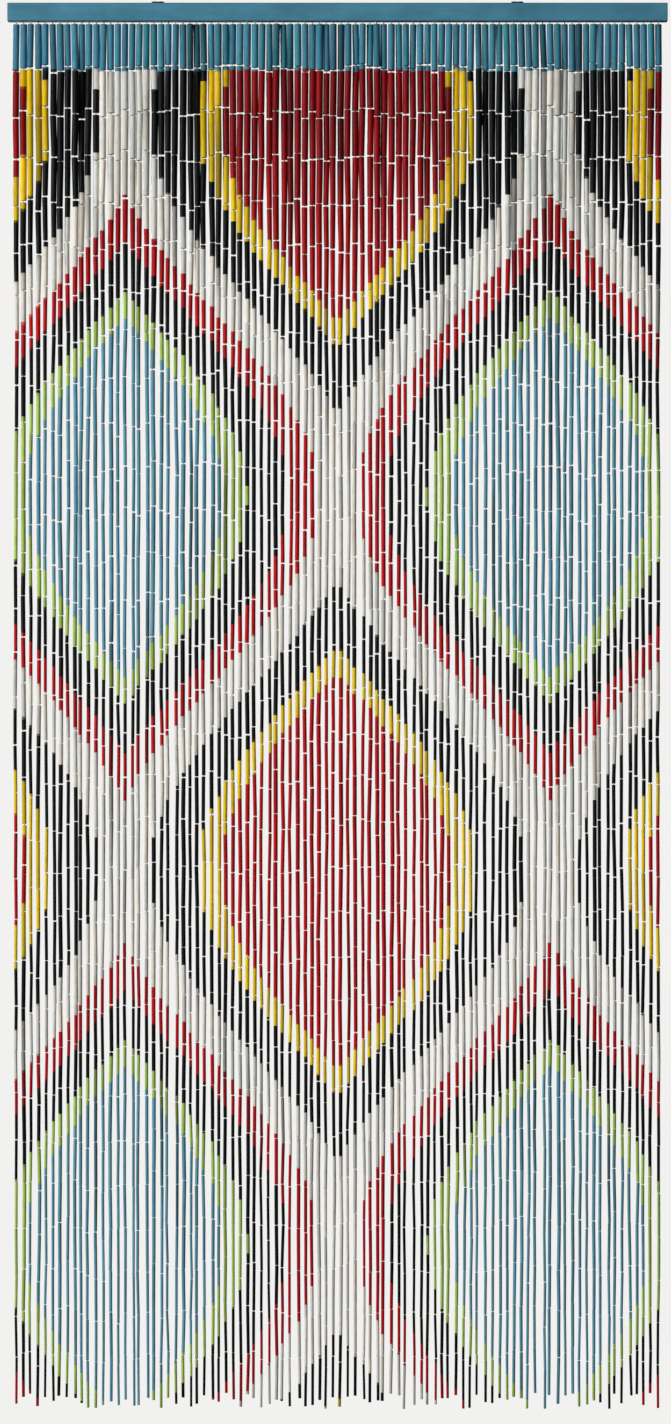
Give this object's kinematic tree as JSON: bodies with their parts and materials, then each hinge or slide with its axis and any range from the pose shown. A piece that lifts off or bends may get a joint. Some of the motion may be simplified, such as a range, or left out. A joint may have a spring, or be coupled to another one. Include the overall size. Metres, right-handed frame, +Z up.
{
  "type": "bead curtain with wooden batten",
  "caption": "Hanging door curtain of painted cane bead strands that thin towards their feet, below a flat painted wooden batten with steel hanger plates on top.",
  "frame": {"origin": "middle of the batten's back face", "axes": "+X along the batten to the viewer's right, +Y out of the batten's back towards the wall, +Z up; the strands hang to -Z"},
  "size_m": [0.9, 0.015, 1.9187],
  "materials": {
    "teal_paint": "satin paint",
    "painted_cane": "satin paint",
    "dark_steel": "dull"
  },
  "bodies": {
    "root": {"batten": "teal_paint", "strands": "painted_cane", "hanger_left": "dark_steel", "hanger_right": "dark_steel"}
  },
  "joints": []
}
